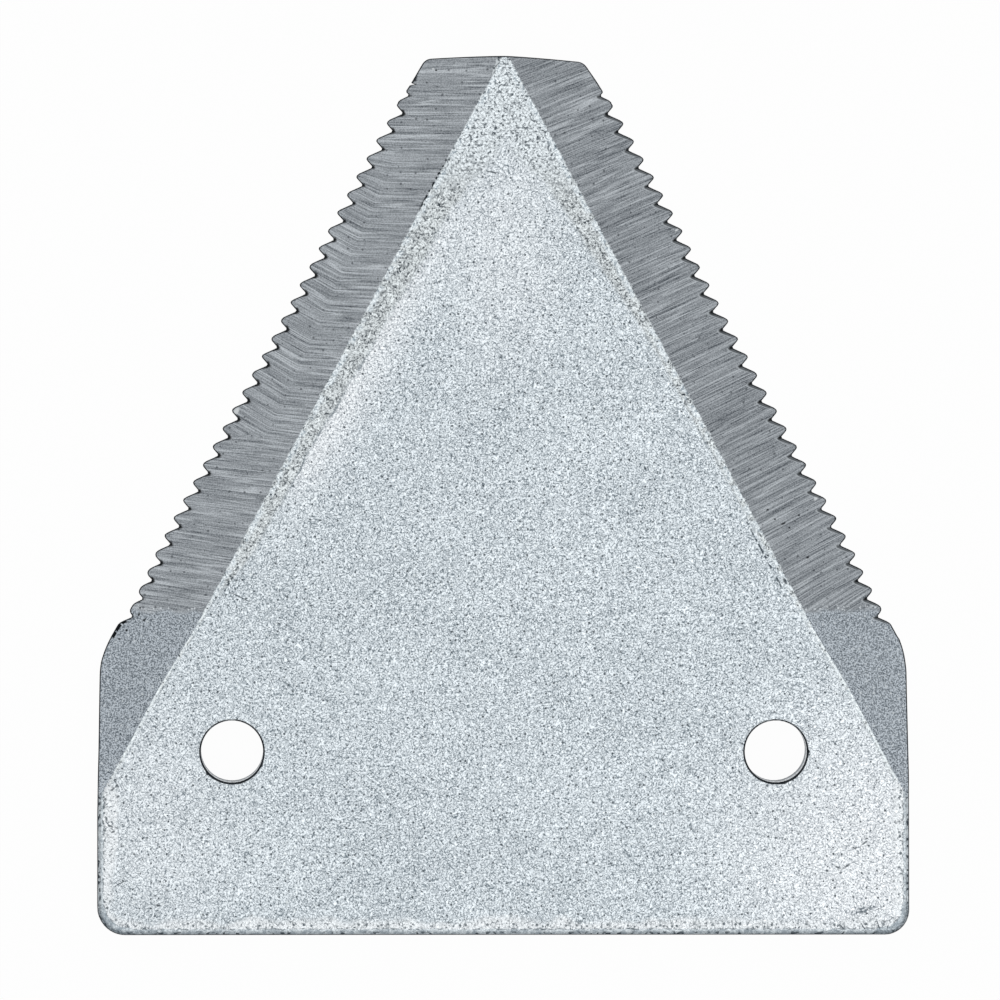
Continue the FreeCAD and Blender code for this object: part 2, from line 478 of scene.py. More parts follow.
rim_nicks = {-1: [(222, 0.16), (234, 0.1), (282, 0.13), (336, 0.07)],
             1: [(359, 0.14), (306, 0.15), (287, 0.1)]}
nick_turn = 0.045
rim_steps = 4
# Width of the ring of painted shade round each hole's rim, most at the bottom
shade_ring_width = 0.05 * MM
top_rings = ((0.3, 0), (0.55, 0), (0.75, 0), (0.9, 0), (1.0, 1), (1.0, 0))
wall_heights = (0.66, 0.3, 0.0)
under_rings = (0.8, 0.5)
rim_gaps = []


def ring_place(angle, radius, side):
    """Where a ring round a hole lies: its radius times the cosine and the sine of each angle."""
    return side * hole_x + radius * np.cos(angle), radius * np.sin(angle)


def nicked(angle, side):
    """How far the rim is broken away at each angle: a few narrow bell curves."""
    broken = 0 * angle
    for degrees, depth in rim_nicks[side]:
        turn = (angle - math.radians(degrees) + math.pi) % (2 * math.pi) - math.pi
        broken = broken + depth * MM * np.exp(-(turn / nick_turn) ** 2)
    return broken


all_points = np.concatenate(vertices)
for side in (-1, 1):
    loop = around(top, *window_rows, *top_windows[side])
    low_loop = around(under, *window_rows, *under_windows[side])
    corner_x, corner_y = all_points[loop, 0], all_points[loop, 1]
    angle = np.arctan2(corner_y, corner_x - side * hole_x)
    nick = nicked(angle, side)
    rings = [loop]
    # Painted shade: the rim's rings get a small distance to the outline, so the zinc paints the bore's
    # shade round each hole as a dark ring, fainter at the top
    bore_shade = 0.05 + 0.05 * np.clip(np.sin(angle), 0, 1)
    for share, wider in top_rings:
        rim = hole_radius + hole_rim + nick + wider * shade_ring_width * (1 - 0.5 * np.sin(angle))
        rim_x, rim_y = ring_place(angle, rim, side)
        x, y = between(corner_x, rim_x, share), between(corner_y, rim_y, share)
        rings.append(add_vertices(x, y, top_height(x, y)))
    rim_gaps += [(rings[-2], bore_shade), (rings[-1], bore_shade)]
    for step in range(1, rim_steps + 1):
        turn = math.pi / 2 * step / rim_steps
        radius = hole_radius + (hole_rim + nick) * (1 - math.sin(turn))
        depth = (hole_rim + nick * 0.6) * (1 - math.cos(turn))
        rings.append(add_vertices(*ring_place(angle, radius, side), plate_top - plate_play - depth))
        rim_gaps.append((rings[-1], bore_shade))
    wall_x, wall_y = ring_place(angle, hole_radius, side)
    for height in wall_heights:
        rings.append(add_vertices(wall_x, wall_y, plate_top * height))
    for share in under_rings:
        rings.append(add_vertices(between(corner_x, wall_x, share), between(corner_y, wall_y, share), 0.0))
    rings.append(low_loop)
    tube = np.array(rings)
    tube = np.hstack([tube, tube[:, :1]])
    faces.append(cells(tube).reshape(-1, 4))
    strip_counts = [rim_steps + len(top_rings), len(wall_heights), len(under_rings) + 1]
    strips = np.repeat([FLAT, SHEARED, UNDERSIDE], strip_counts)
    face_finish.append(np.repeat(strips, len(loop)))


# The sheared edge all round
# A press leaves it bright and smooth above and torn back a little below. It is as high as the
# plate at the heel, and a thin land at the teeth.

torn_back = 0.03 * MM
torn_beyond = 34 * MM
last_row = row_count - 1
top_edge = around(top, 0, last_row, 0, last_top)
low_edge = around(under, 0, last_row, 0, last_under)
all_columns = np.broadcast_to(np.arange(column_count), (row_count, column_count))
matches = np.isin(around(all_columns, 0, last_row, 0, last_top), under_columns)
all_points = np.concatenate(vertices)
upper = all_points[top_edge[matches]]
lower = all_points[low_edge]
wall = [top_edge[matches]]
for share, torn in ((0.35, 0.0), (0.62, 1.0)):
    middle = between(upper, lower, share)
    inwards = torn * torn_back * np.clip((upper[:, 2] - lower[:, 2]) / plate_top, 0, 1)
    middle[:, 0] -= np.sign(middle[:, 0]) * inwards * (abs(middle[:, 0]) > torn_beyond)
    wall.append(add_vertices(middle[:, 0], middle[:, 1], middle[:, 2]))
wall.append(low_edge)
wall = np.array(wall)
wall = np.hstack([wall, wall[:, :1]])
faces.append(cells(wall[1:])[..., ::-1].reshape(-1, 4))
face_finish.append(np.full(2 * len(low_edge), SHEARED))

start = np.flatnonzero(matches)
stop = np.append(start[1:], len(top_edge))
closed_edge = np.append(top_edge, top_edge[0])
first_strip = [closed_edge[a:b + 1].tolist()[::-1] + [int(wall[1, i]), int(wall[1, i + 1])]
               for i, (a, b) in enumerate(zip(start, stop))]
face_finish.append(np.full(len(first_strip), SHEARED))


# The steel's lie
# What the finishes have to follow is worked out for every vertex: how far it is from the outline
# and from the bevel's border, how hard the plate was crushed there, and which way the wheel ran.

points = np.concatenate(vertices)


def grinding_place(x, y):
    """Place along and across the grinding lines, as two coordinates in metres.

    On the right the lines climb outwards, more steeply towards the heel. On the left they fall
    inwards at a small angle, and an outer strip of the bevel was ground again at a steeper one:
    beyond a line parallel to the edge, the place across changes faster with the distance."""
    steeper = np.clip((60 * MM - y) / (45 * MM), 0, 1)
    right = y - np.tan(np.radians(22 + 8 * steeper)) * x
    turned = np.tan(np.radians(9 * np.clip((55 * MM - y) / (42 * MM), 0, 1)))
    again = (y + turned * x > 27.1 * MM) * (1 - smooth_step(y, 52 * MM, 58 * MM))
    strip = 3.4 * MM + (46.1 * MM - y) * 0.068
    left = y + turned * x - 0.43 * again * np.clip(strip - (edge_line(y) + x), 0, None)
    return np.stack([x, np.where(x < 0, left, right), 0 * x], -1)


half_stretch = np.where(side_of < 0, edge_stretch(row_half(-1)), edge_stretch(row_half(1)))
near_outline = np.minimum(outer_gap / half_stretch, grid_y[-1] - grid_y)
near_heel = by_side(edge_distance, grid_x, grid_y)
far_away = 9.0
away = np.full(len(points), far_away)
away[:grid_x.size] = (np.minimum(near_outline, near_heel) / MM).ravel()
for numbers, gap in rim_gaps:
    away[numbers] = gap

notch_depth = edge_line(row_y)[:, None] - grid_half
in_teeth = (row_y > teeth_foot) & (row_y < first_groove_y + 0.3 * MM)
# Painted shade: how strongly each valley between the teeth is painted dark, for the shade in the notches
valley_shade = np.zeros(len(points))
valley_shade[:grid_x.size] = (smooth_step(notch_depth, 0.68 * MM, 0.84 * MM) * in_teeth[:, None]
                        * (1 - smooth_step(near_outline, 0.16 * MM, 0.32 * MM))
                        * np.where((side_of < 0) & (grid_y < 14.5 * MM), 0.3, 1)).ravel()

# Painted highlight: the long flanks of the right-hand teeth are painted bright
right_slope = np.gradient(row_half(1), row_y)
facet_highlight = np.zeros(len(points))
facet_highlight[:grid_x.size] = (((right_slope < -1.0) & in_teeth)[:, None] * (side_of > 0)
                       * (1 - smooth_step(near_outline, 0.36 * MM, 0.6 * MM))).ravel()

x, y = points[:, 0], points[:, 1]
inside = (border_half(y) - abs(x)) * edge_cos / MM
crushed = by_side(band_strength, x, y)
point_values = {"away": away, "inside": inside, "crushed": crushed, "valley_shade": valley_shade, "facet_highlight": facet_highlight}


# The zinc plating
# The blank is zinc plated before its bevels are ground. The plating is dull and fine-grained, with
# dark pin holes and bright flecks, and coarse where the plate was crushed beside the bevels.


def seen(red, green, blue):
    """A colour as a screen shows it, from 0 to 255, made linear for the shader."""
    shown = np.array([red, green, blue]) / 255
    linear = np.where(shown <= 0.04045, shown / 12.92, ((shown + 0.055) / 1.055) ** 2.4)
    return (*linear.tolist(), 1.0)


class Finish:
    """A finish, with the colour that it has so far. Most methods add a node or two and hand back
    an output, and lengths are in millimetres on the plate."""

    def __init__(self, name):
        self.material = bpy.data.materials.new(name)
        self.material.use_nodes = True
        self.tree = self.material.node_tree
        self.shader = self.tree.nodes["Principled BSDF"]
        self.set("Metallic", 1.0)
        self.place = self.node("ShaderNodeTexCoord").outputs["Object"]
        self.colour = None

    def feed(self, socket, value):
        """Links an output to a socket, or sets the socket's own value."""
        if isinstance(value, bpy.types.NodeSocket):
            self.tree.links.new(value, socket)
        else:
            socket.default_value = value

    def node(self, kind, inputs=None, **settings):
        """A new node, with its settings and with its inputs given by name or number."""
        made = self.tree.nodes.new(kind)
        for name, value in settings.items():
            setattr(made, name, value)
        for socket, value in (inputs or {}).items():
            self.feed(made.inputs[socket], value)
        return made

    def maths(self, operation, a, b=0.0, c=0.0):
        """One sum of up to three values."""
        return self.node("ShaderNodeMath", {0: a, 1: b, 2: c}, operation=operation).outputs[0]

    def total(self, *shares):
        """Values added together, each times its weight."""
        result = 0.0
        for weight, value in shares:
            result = self.maths("MULTIPLY_ADD", value, weight, result)
        return result

    def product(self, first, *others):
        """Values multiplied together."""
        for value in others:
            first = self.maths("MULTIPLY", first, value)
        return first

    def rest(self, value):
        """What a value leaves of 1."""
        return self.maths("SUBTRACT", 1.0, value)

    def apart(self, value, middle):
        """How far a value is from a middle one."""
        return self.maths("ABSOLUTE", self.total((1.0, value), (-middle, 1.0)))

    def span(self, value, start, end, low=0.0, high=1.0):
        """low at start and high at end, with a smooth step between. start may be the greater."""
        inputs = {"Value": value, "From Min": start, "From Max": end, "To Min": low, "To Max": high}
        return self.node("ShaderNodeMapRange", inputs, interpolation_type="SMOOTHSTEP").outputs[0]

    def mix(self, share, a, b):
        """One colour turning into another."""
        return self.node("ShaderNodeMix", {0: share, 6: a, 7: b}, data_type="RGBA").outputs[2]

    def paint(self, tone, *shares):
        """Lays a tone over the colour so far, as strongly as the shares' product says."""
        self.colour = self.mix(self.product(*shares), self.colour, tone)

    def attribute(self, name, output="Fac"):
        """A value that the mesh holds for every vertex."""
        return self.node("ShaderNodeAttribute", attribute_name=name).outputs[output]

    def cells(self, size, seed, place=None):
        """Coordinates that count cells of a size, or of a length and a width, from a seeded start."""
        length, width = size if isinstance(size, tuple) else (size, size)
        inputs = {"Vector": self.place if place is None else place,
                  "Location": (seed * 3.1, seed * 5.7, seed * 2.3),
                  "Scale": (1 / (length * MM), 1 / (width * MM), 1 / (width * MM))}
        return self.node("ShaderNodeMapping", inputs).outputs[0]

    def noise(self, size, seed, detail=0.0, place=None):
        """Random light and dark blurs of about the size of a cell, from 0 to 1."""
        inputs = {"Vector": self.cells(size, seed, place), "Scale": 1.0, "Detail": detail}
        return self.node("ShaderNodeTexNoise", inputs).outputs[0]

    def patches(self, size, seed, start, end, detail=0.0, place=None):
        """A noise with more contrast: 0 where it is below start, and 1 where it is above end."""
        return self.span(self.noise(size, seed, detail, place), start, end)

    def creases(self, size, seed, width, place=None):
        """0 along the crooked lines where a noise crosses its middle, and 1 away from them."""
        offset = self.maths("SUBTRACT", self.noise(size, seed, 0.0, place), 0.5)
        return self.span(self.maths("ABSOLUTE", offset), 0.0, width)

    def specks(self, every, share, radius, seed):
        """1 in round specks, which a share of the squares of the given side have one of each."""
        inputs = {"Vector": self.cells(every, seed), "Scale": 1.0}
        scatter = self.node("ShaderNodeTexVoronoi", inputs, voronoi_dimensions="2D")
        chance = self.node("ShaderNodeSeparateColor", {0: scatter.outputs["Color"]}).outputs
        chosen = self.maths("LESS_THAN", chance[0], share)
        reach = self.maths("MULTIPLY_ADD", chance[1], radius / every, radius / every * 0.5)
        near = self.maths("DIVIDE", scatter.outputs["Distance"], reach)
        return self.product(self.span(near, 1.0, 0.5), chosen)

    def oval(self, middle, reach, turn=0.0, soft=0.6):
        """1 inside an oval at a place on the plate, turned by some degrees, and 0 beyond it."""
        inputs = {"Vector": self.place, "Location": (middle[0] * MM, middle[1] * MM, 0.0),
                  "Rotation": (0.0, 0.0, math.radians(turn)), "Scale": (reach[0] * MM, reach[1] * MM, 1.0)}
        shares = self.node("ShaderNodeMapping", inputs, vector_type="TEXTURE").outputs[0]
        length = self.node("ShaderNodeVectorMath", {0: shares}, operation="LENGTH").outputs["Value"]
        return self.span(length, 1.0, 1.0 - soft)

    def ovals(self, places):
        """The strongest of several ovals, each given as x, y, half length, half width and, where
        it is turned, its turn."""
        result = 0.0
        for at_x, at_y, length, width, *turn in places:
            result = self.maths("MAXIMUM", result, self.oval((at_x, at_y), (length, width), *turn))
        return result

    def set(self, name, value):
        """Feeds one of the shader's own sockets."""
        self.feed(self.shader.inputs[name], value)

    def relief(self, height, depth):
        """Gives the shader a bump as deep as said, from a height between 0 and 1."""
        bump = self.node("ShaderNodeBump", {"Height": height, "Distance": depth * MM})
        self.set("Normal", bump.outputs[0])


def zinc_grain(finish):
    """The plating's grain, from 0 to 1: fine cells, thin bright worms and thin dark ones."""
    fine = finish.patches(0.14, 1, 0.32, 0.68)
    return finish.total((0.42, fine), (0.58, finish.creases(0.28, 2, 0.08)),
                        (-0.5, finish.creases(0.3, 32, 0.07)), (0.32, 1.0))


def crushed_grain(finish):
    """The grain where the plate was crushed, from 0 to 1: bright lumps between dark crooked lines."""
    lumps = finish.patches(0.2, 4, 0.28, 0.5)
    pits = finish.patches(0.33, 23, 0.29, 0.37)
    return finish.product(finish.total((0.5, lumps), (0.5, finish.creases(0.4, 5, 0.07))),
                          finish.maths("MULTIPLY_ADD", pits, 0.75, 0.25))


crushed_dark = seen(46, 60, 72)
crushed_light = seen(243, 251, 255)
bright_fleck = seen(246, 253, 255)
pit_shade = seen(66, 76, 84)

# Painted light: the plating is painted paler, as pools of light and highlights, at the lower right, up the
# middle, at the left and beside the left band
zinc = Finish("zinc_plating")
place_x, place_y = zinc.node("ShaderNodeSeparateXYZ", {0: zinc.place}).outputs[:2]
inside_border = zinc.attribute("inside")
in_band = zinc.attribute("crushed")
grain = zinc_grain(zinc)
broad = zinc.noise(7, 3, 2)
light_pool = zinc.oval((36, -10), (24, 24), 0, 0.9)
painted_glow = zinc.total((0.85, light_pool), (0.5, zinc.oval((0, 48), (9, 18), 0, 0.9)),
                   (0.35, zinc.oval((-34, -6), (14, 18), 0, 0.9)),
                   (0.5, zinc.oval((-12.8, 35), (24, 3.6), 61.8, 0.9)))
on_left = zinc.product(zinc.span(place_x, -4 * MM, -7 * MM), zinc.span(place_y, 22 * MM, 27 * MM))
glow_beside_band = zinc.product(zinc.span(in_band, 0.5, 0.05), zinc.span(inside_border, 4.2, 1.8), on_left)
painted_glow = zinc.total((1, painted_glow), (0.45, glow_beside_band))
light_tone = zinc.mix(painted_glow, seen(242, 250, 255), seen(248, 252, 255))
dark_tone = zinc.mix(painted_glow, seen(122, 135, 144), seen(142, 151, 160))
zinc.colour = zinc.mix(zinc.total((1, grain), (0.24, broad), (-0.12, 1), (0.23, painted_glow)),
                       dark_tone, light_tone)

# The crushed band is lumpy at the nose, and below it has bright and dark worms
lumpy = crushed_grain(zinc)
wormy = zinc.total((0.42, zinc.patches(0.18, 39, 0.38, 0.56)), (0.5, zinc.creases(0.36, 40, 0.08)),
                   (-0.5, zinc.creases(0.42, 45, 0.07)), (0.2, zinc.patches(1.1, 41, 0.35, 0.65)),
                   (0.28, 1))
at_nose = zinc.span(place_y, 51 * MM, 56 * MM)
lumps_colour = zinc.mix(lumpy, crushed_dark, crushed_light)
worms_colour = zinc.mix(wormy, seen(36, 48, 58), bright_fleck)
zinc.paint(zinc.mix(at_nose, worms_colour, lumps_colour), in_band, 0.92)

# Each bevel's border is bright here and there, and the left band ends in a broken dark line
border_bright = zinc.product(zinc.span(inside_border, 0.6, 0.25), in_band,
                             zinc.patches(0.8, 42, 0.36, 0.5))
zinc.paint(zinc.mix(lumpy, seen(140, 155, 166), crushed_light), border_bright, 0.92)
ridge = zinc.span(zinc.apart(in_band, 0.4), 0.3, 0.12)
ridge = zinc.product(ridge, on_left, zinc.span(place_y, 40 * MM, 34 * MM),
                     zinc.patches(0.5, 38, 0.4, 0.5))
zinc.paint(seen(104, 118, 128), ridge, 0.6)

# Beside the pressed bevels the press left a thin bright burr, and higher up a torn line
at_pressed = zinc.span(place_y, 15 * MM, 14 * MM)
burr = zinc.product(zinc.span(inside_border, 0.2, 0.1), zinc.patches(0.4, 6, 0.44, 0.54), at_pressed)
zinc.paint(seen(244, 252, 255), burr)
torn_line = zinc.span(zinc.apart(inside_border, 0.72), 0.13, 0.05)
torn_places = zinc.ovals([(25, 18.2, 5.4, 2.2, -62), (-25.6, 16, 2.2, 1.8, 62)])
torn = zinc.product(torn_line, torn_places, zinc.patches(0.45, 24, 0.4, 0.5))
zinc.paint(seen(80, 90, 98), torn)

pins = zinc.specks(0.8, 0.6, 0.09, 7)
flecks = zinc.specks(0.9, 0.5, 0.1, 8)
zinc.paint(bright_fleck, flecks, 0.8)
zinc.paint(pit_shade, pins, 0.85)

# A rim along the heel and the sides is bright and speckled, with short strokes above the heel
to_edge = zinc.attribute("away")
at_heel = zinc.span(place_y, 13 * MM, 12 * MM)
rim_reach = zinc.total((1, to_edge), (1.6, zinc.noise(2.2, 25)), (-0.8, 1),
                       (-0.7, zinc.oval((-37, -6.8), (3, 4.5))))
rim = zinc.product(zinc.span(to_edge, 0.5, 0.62), zinc.span(rim_reach, 1.7, 0.9), at_heel)
rim_grain = zinc.total((0.55, zinc.patches(0.19, 9, 0.29, 0.45)),
                       (0.6, zinc.creases(0.32, 26, 0.07)), (0.04, 1))
zinc.paint(zinc.mix(rim_grain, seen(50, 66, 80), seen(247, 252, 255)), rim, 0.95)
rim_pits = zinc.product(zinc.specks(0.55, 0.55, 0.13, 29), zinc.span(to_edge, 1.7, 1), at_heel)
zinc.paint(seen(80, 92, 100), rim_pits, 0.8)
strokes = zinc.rest(zinc.creases((0.3, 1), 31, 0.06))
strokes = zinc.product(strokes, zinc.span(place_y, -14.8 * MM, -16 * MM),
                       zinc.patches(0.9, 33, 0.4, 0.5))
zinc.paint(seen(92, 104, 112), strokes, 0.6)

# The rolled edge is smooth and bluish as a painted reflection, with dark chips, painted shade at the
# corners and along its inner border, and a thin outline of painted shade
corners = zinc.ovals([(-37, -16.4, 2.8, 2.8), (37, -16.4, 2.8, 2.8)])
roll_border = zinc.total((1, to_edge), (0.3, zinc.noise(0.35, 27)), (-0.15, 1), (-0.25, corners))
# Painted reflection: the roll is painted bluish grey, darker at the corners and along the heel's lowest
# strip, where the turned-down steel faces the darker room
rolled = zinc.product(zinc.span(roll_border, 0.58, 0.52), at_heel)
roll_reflection_tone = zinc.total((0.6, zinc.patches(0.5, 10, 0.3, 0.7, 1)), (0.4, grain),
                         (-0.35, corners), (-0.35, zinc.span(place_y, -16.6 * MM, -17 * MM)))
zinc.paint(zinc.mix(roll_reflection_tone, seen(160, 171, 179), seen(236, 244, 248)), rolled)
corner_shade = zinc.product(zinc.span(corners, 0, 0.4), zinc.span(to_edge, 0.6, 0.2),
                            zinc.patches(0.18, 36, 0.34, 0.56))
zinc.paint(seen(88, 98, 106), corner_shade, 0.6)
shade = zinc.span(zinc.apart(roll_border, 0.6), 0.08, 0.03)
shade = zinc.product(shade, zinc.patches(0.4, 30, 0.48, 0.56), at_heel)
zinc.paint(seen(90, 102, 110), shade, 0.7)
chips = zinc.product(zinc.patches(0.32, 28, 0.58, 0.66), zinc.span(to_edge, 0.5, 0.15))
zinc.paint(seen(70, 80, 88), chips, at_heel)
# Painted shade: a thin dark outline all round, where the edge turns down away from the light, and round
# the holes' rims
outline_shade = zinc.total((1, to_edge), (0.08, zinc.noise(0.6, 48, 1)), (-0.04, 1))
zinc.paint(seen(44, 49, 54), zinc.span(outline_shade, 0.15, 0.08))

# Single dents, scratches and pits that the plate has picked up
pits = zinc.ovals([
    (0.43, 63.75, 0.16, 0.14), (-1.9, 61.51, 0.17, 0.13, 60), (-0.87, 58.17, 0.16, 0.14),
    (0.62, 59.29, 0.2, 0.1, 120), (-0.03, 60.03, 0.3, 0.09, -50), (-1.23, 54.07, 0.78, 0.09, -10),
    (-2.54, 54.72, 0.14, 0.12), (-5.61, 55.93, 0.24, 0.15, 50), (-5.43, 55.18, 0.16, 0.13),
    (-6.3, 53.6, 0.16, 0.11, 60), (0.24, 64.72, 0.2, 0.12, 10), (-0.5, 64.7, 0.13, 0.1),
    (-24.66, 14.44, 1.5, 0.09, -26), (-24.76, 15.47, 0.13, 0.12), (-25.97, 14.63, 0.14, 0.12)])
scuffs = zinc.ovals([
    (-37.4, -2.74, 0.42, 0.08, 5), (-36.7, -2.5, 0.14, 0.1, 70), (-36, -3.3, 0.14, 0.1),
    (-35.7, -2.4, 0.12, 0.1), (-35.75, -12.28, 0.85, 0.07, 27), (-32.2, -14.4, 0.2, 0.15, 20),
    (-32.95, -14.7, 0.15, 0.12), (-32.58, -13.5, 0.14, 0.12), (-28.1, -15.28, 0.2, 0.13, 110),
    (-32.6, -15.37, 0.22, 0.12, 40), (-29.5, -16.1, 0.2, 0.14), (-37.7, -13.7, 0.35, 0.15, 80),
    (32.9, -9.05, 0.32, 0.12, 25), (33.75, -8.55, 0.45, 0.13, 38), (31.25, -10.85, 0.48, 0.13, -25),
    (32.1, -10.72, 0.44, 0.14, 35), (31.5, -11.35, 0.18, 0.13), (26.21, 15.95, 0.5, 0.2, -62),
    (33.6, -16.37, 0.65, 0.08, -56), (35.05, -16.24, 0.8, 0.07, -71), (35.93, -16.45, 0.34, 0.09, 77),
    (31.6, -16.4, 0.5, 0.08, -45), (-36.55, -2.1, 0.3, 0.15, 60), (-36.3, -2.65, 0.24, 0.15, 20),
    (-36.15, -3.2, 0.28, 0.15, 50), (-36.55, -3.55, 0.28, 0.15, 40), (-36.03, -4.2, 0.26, 0.16, 40),
    (-37.2, -4.45, 0.18, 0.17), (-37.3, -5.75, 0.13, 0.13), (-37.1, -6.3, 0.14, 0.34, 5),
    (-37.42, -6.6, 0.1, 0.3, 5), (-36.75, -6.95, 0.4, 0.14, -25), (-36.5, -7.5, 0.3, 0.12, 20)])
zinc.paint(pit_shade, zinc.maths("MAXIMUM", pits, scuffs), 0.8)
smudge = zinc.ovals([(33.75, -14.85, 1.1, 0.45, 8), (34.5, -14.5, 0.5, 0.15),
                     (32.8, -15.1, 0.6, 0.3, 20)])
smudge = zinc.product(smudge, zinc.patches(0.26, 37, 0.36, 0.56))
zinc.paint(seen(116, 126, 134), smudge)

zinc.set("Base Color", zinc.colour)
zinc.set("Roughness", zinc.span(grain, 0, 1, 0.5, 0.38))
height = zinc.total((0.5, grain), (0.5, zinc.product(lumpy, in_band)), (-0.6, pins))
zinc.relief(height, 0.02)


# The ground bevels
# The wheel leaves long scratches in bare steel, a little darker than the zinc, partly as the steel's own
# colour and partly as painted shade for the bevels' tilt. Towards the heel it lifts off, and the pressed
# bevel keeps its fine, granular plating.

ground = Finish("ground_bevel")
run = ground.attribute("grinding", "Vector")
place_x, place_y = ground.node("ShaderNodeSeparateXYZ", {0: ground.place}).outputs[:2]
# Painted light: the left bevel's scratches are painted a little lighter, as the bevel on the side the
# light comes from
on_left = ground.span(place_x, 2 * MM, -2 * MM)
lines = ground.rest(ground.creases((8, 0.3), 35, 0.08, run))
dark_lines = ground.rest(ground.creases((7, 0.32), 46, 0.08, run))
streaks = ground.total((0.2, ground.patches((9, 0.1), 11, 0.3, 0.7, 0, run)),
                       (0.2, ground.patches((2, 0.085), 12, 0.25, 0.75, 0, run)),
                       (0.32, ground.patches(0.1, 13, 0.25, 0.75)), (0.3, lines),
                       (-0.2, dark_lines), (0.08, on_left), (0.06, 1))
speckle = ground.specks(1.2, 0.6, 0.1, 14)
steel_colour = ground.mix(streaks, seen(92, 99, 107), seen(236, 243, 249))
steel_colour = ground.mix(ground.product(speckle, 0.65), steel_colour, seen(64, 70, 77))

granular = ground.total((0.65, ground.patches(0.13, 15, 0.35, 0.65)),
                        (0.35, ground.creases(0.22, 16, 0.08)))
pressed_colour = ground.mix(granular, seen(75, 87, 98), seen(233, 243, 252))
light_specks = ground.specks(0.6, 0.5, 0.1, 17)
pressed_colour = ground.mix(ground.product(light_specks, 0.85), pressed_colour, seen(242, 250, 255))

# The ground steel ends in a wandering line with bright specks along it
lift_off = ground.total((1, place_y), (1.2 * MM, ground.noise(1.8, 18, 1)))
is_ground = ground.span(lift_off, 13.3 * MM, 13.9 * MM)
ground.colour = ground.mix(is_ground, pressed_colour, steel_colour)
last_touch = ground.span(ground.apart(lift_off, 13.9 * MM), 0.3 * MM, 0.1 * MM)
ground.paint(seen(240, 247, 252), last_touch, ground.specks(0.36, 0.7, 0.1, 34))

# Crushed plating spills over the bevel's border here and there
past_border = ground.total((1, ground.attribute("inside")), (0.4, ground.noise(0.28, 22)),
                           (0.3, ground.oval((-0.9, 64.4), (1.2, 1.5))))
spilled = ground.product(ground.span(past_border, 0.08, 0.12), is_ground)
ground.paint(ground.mix(crushed_grain(ground), crushed_dark, crushed_light), spilled)

# Single pits in the bevels, and the dark breaks at the left shoulder
dark_marks = ground.ovals([
    (-35.28, 11.2, 0.17, 0.15), (-35.95, 10.38, 0.18, 0.12), (-34.1, 12.68, 0.2, 0.14, 60),
    (-33.6, 12.2, 0.3, 0.12, 40), (-34, 13.3, 0.14, 0.12), (-8.42, 62.72, 0.55, 0.22, 57),
    (-6.4, 63.55, 0.15, 0.12), (26.1, 21.28, 0.35, 0.12, 20), (27.59, 22.03, 0.16, 0.13),
    (26.66, 20.9, 0.14, 0.12), (25.3, 21.7, 0.14, 0.12), (28.4, 18.1, 0.2, 0.14, 20),
    (24.6, 22.6, 0.16, 0.12)])
ground.paint(seen(28, 31, 34), dark_marks, 0.9)
# Painted highlights on a few chipped tooth tips
chip_highlights = ground.ovals([(-6.68, 63.68, 0.15, 0.12), (-25, 31.72, 0.45, 0.3, 60),
                            (16.15, 48.7, 0.3, 0.14, 40), (29.3, 23.7, 0.5, 0.24, 60)])
ground.paint(seen(246, 251, 254), chip_highlights)

to_edge = ground.attribute("away")
gaps = ground.ovals([(-35.67, 11.71, 0.5, 0.1, 147), (-36.13, 11.01, 0.5, 0.1, 147)])
torn_corner = ground.product(ground.oval((-35.9, 11.25), (1.15, 0.7), 57, 0.2),
                             ground.span(to_edge, 0.36, 0.28))
ground.paint(seen(24, 27, 30), torn_corner, ground.rest(gaps))
# Painted shadow: dark patches just on the bevel's side of its border near the nose, the shadows beside the
# border's lumps
at_border = ground.apart(ground.attribute("inside"), -0.1)
border_shadows = ground.product(ground.span(at_border, 0.18, 0.08), ground.patches(0.32, 43, 0.5, 0.56),
                       ground.oval((-6.6, 53), (3.4, 1.4), 62, 0.4))
ground.paint(seen(44, 50, 56), border_shadows)

# The teeth have a painted highlight on a facet on the right, and painted shade in the valleys and along
# the outline on both sides
# Painted highlight on the right-hand teeth's long flanks, darker at their very edge
facet_highlight = ground.attribute("facet_highlight")
facet_highlight_tone = ground.mix(ground.span(to_edge, 0.28, 0.34), seen(108, 113, 117), seen(206, 213, 218))
ground.paint(facet_highlight_tone, facet_highlight, ground.span(to_edge, 0.44, 0.38), 0.85)
# Painted shade in the valleys between the teeth
ground.paint(seen(14, 14, 16), ground.attribute("valley_shade"))
# Painted shade: a thin dark outline along the toothed edge
ground.paint(seen(46, 50, 53), ground.span(to_edge, 0.14, 0.08))
ground.set("Base Color", ground.colour)
ground.set("Roughness", ground.span(streaks, 0, 1, 0.46, 0.36))
ground.relief(ground.total((1, ground.product(streaks, is_ground)), (0.6, granular)), 0.006)


# The sheared steel and the underside
# The walls of the outline and of the holes are bare steel, bright where the punch slid past and
# torn below. The underside is plated as the flat is, and has never been crushed or ground.

sheared = Finish("sheared_steel")
place_x, place_y, place_z = sheared.node("ShaderNodeSeparateXYZ", {0: sheared.place}).outputs
upright = sheared.node("ShaderNodeCombineXYZ", {0: place_z, 1: place_x, 2: place_y}).outputs[0]
drag = sheared.patches((2.4, 0.09), 19, 0.3, 0.7, 1, upright)
tear = sheared.total((0.6, sheared.patches((0.5, 0.16), 44, 0.32, 0.68, 2, upright)),
                     (0.4, sheared.creases(0.3, 49, 0.08)))
tear_top = sheared.total((1, place_z), (1.3 * MM, sheared.noise(1.4, 47, 2)), (-0.65 * MM, 1))
slid = sheared.span(tear_top, 1.5 * MM, 1.66 * MM)
slid_colour = sheared.mix(drag, seen(126, 133, 139), seen(206, 212, 217))
torn_colour = sheared.mix(tear, seen(66, 71, 77), seen(156, 163, 169))
sheared.set("Base Color", sheared.mix(slid, torn_colour, slid_colour))
